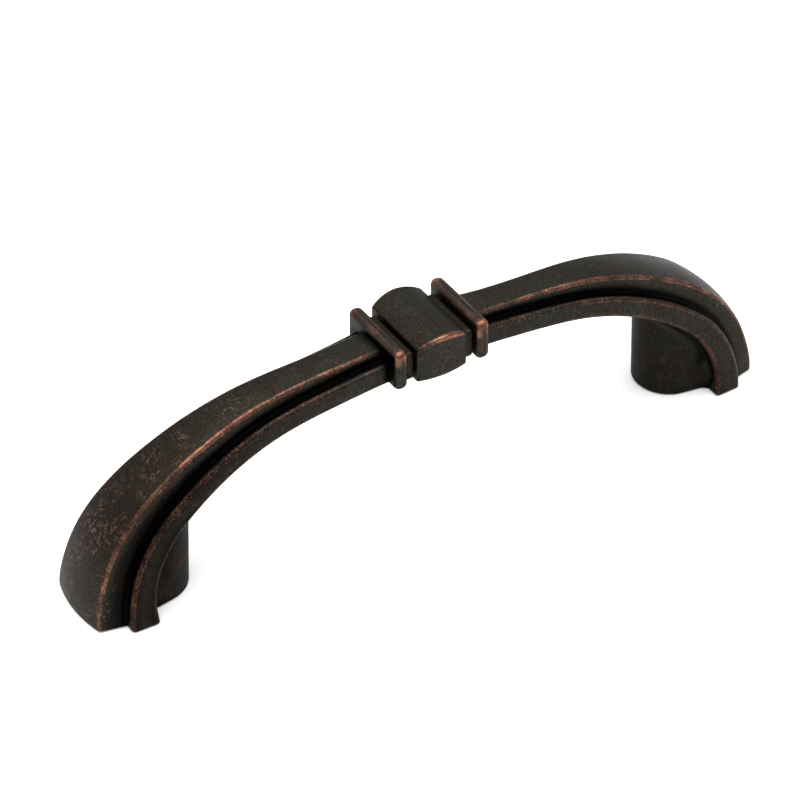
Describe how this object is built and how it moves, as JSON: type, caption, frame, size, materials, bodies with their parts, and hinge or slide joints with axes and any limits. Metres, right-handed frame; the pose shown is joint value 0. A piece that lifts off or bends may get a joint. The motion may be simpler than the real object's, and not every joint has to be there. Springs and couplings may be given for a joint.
{
  "type": "cabinet handle",
  "caption": "Bow-shaped cabinet pull, cast in one piece, with a stepped flaring bow, a collared bead at the middle and tapped feet for screws from behind.",
  "frame": {"origin": "midway between the two screw holes, on the plane where the feet meet the drawer front", "axes": "+X along the handle from foot to foot, +Y across it, +Z away from the drawer front"},
  "size_m": [0.122, 0.019, 0.0317],
  "materials": {
    "bronze": "oil-rubbed bronze over zinc, satin, with copper-coloured wear along the edges"
  },
  "bodies": {
    "root": {"pull_casting": "bronze"}
  },
  "joints": []
}
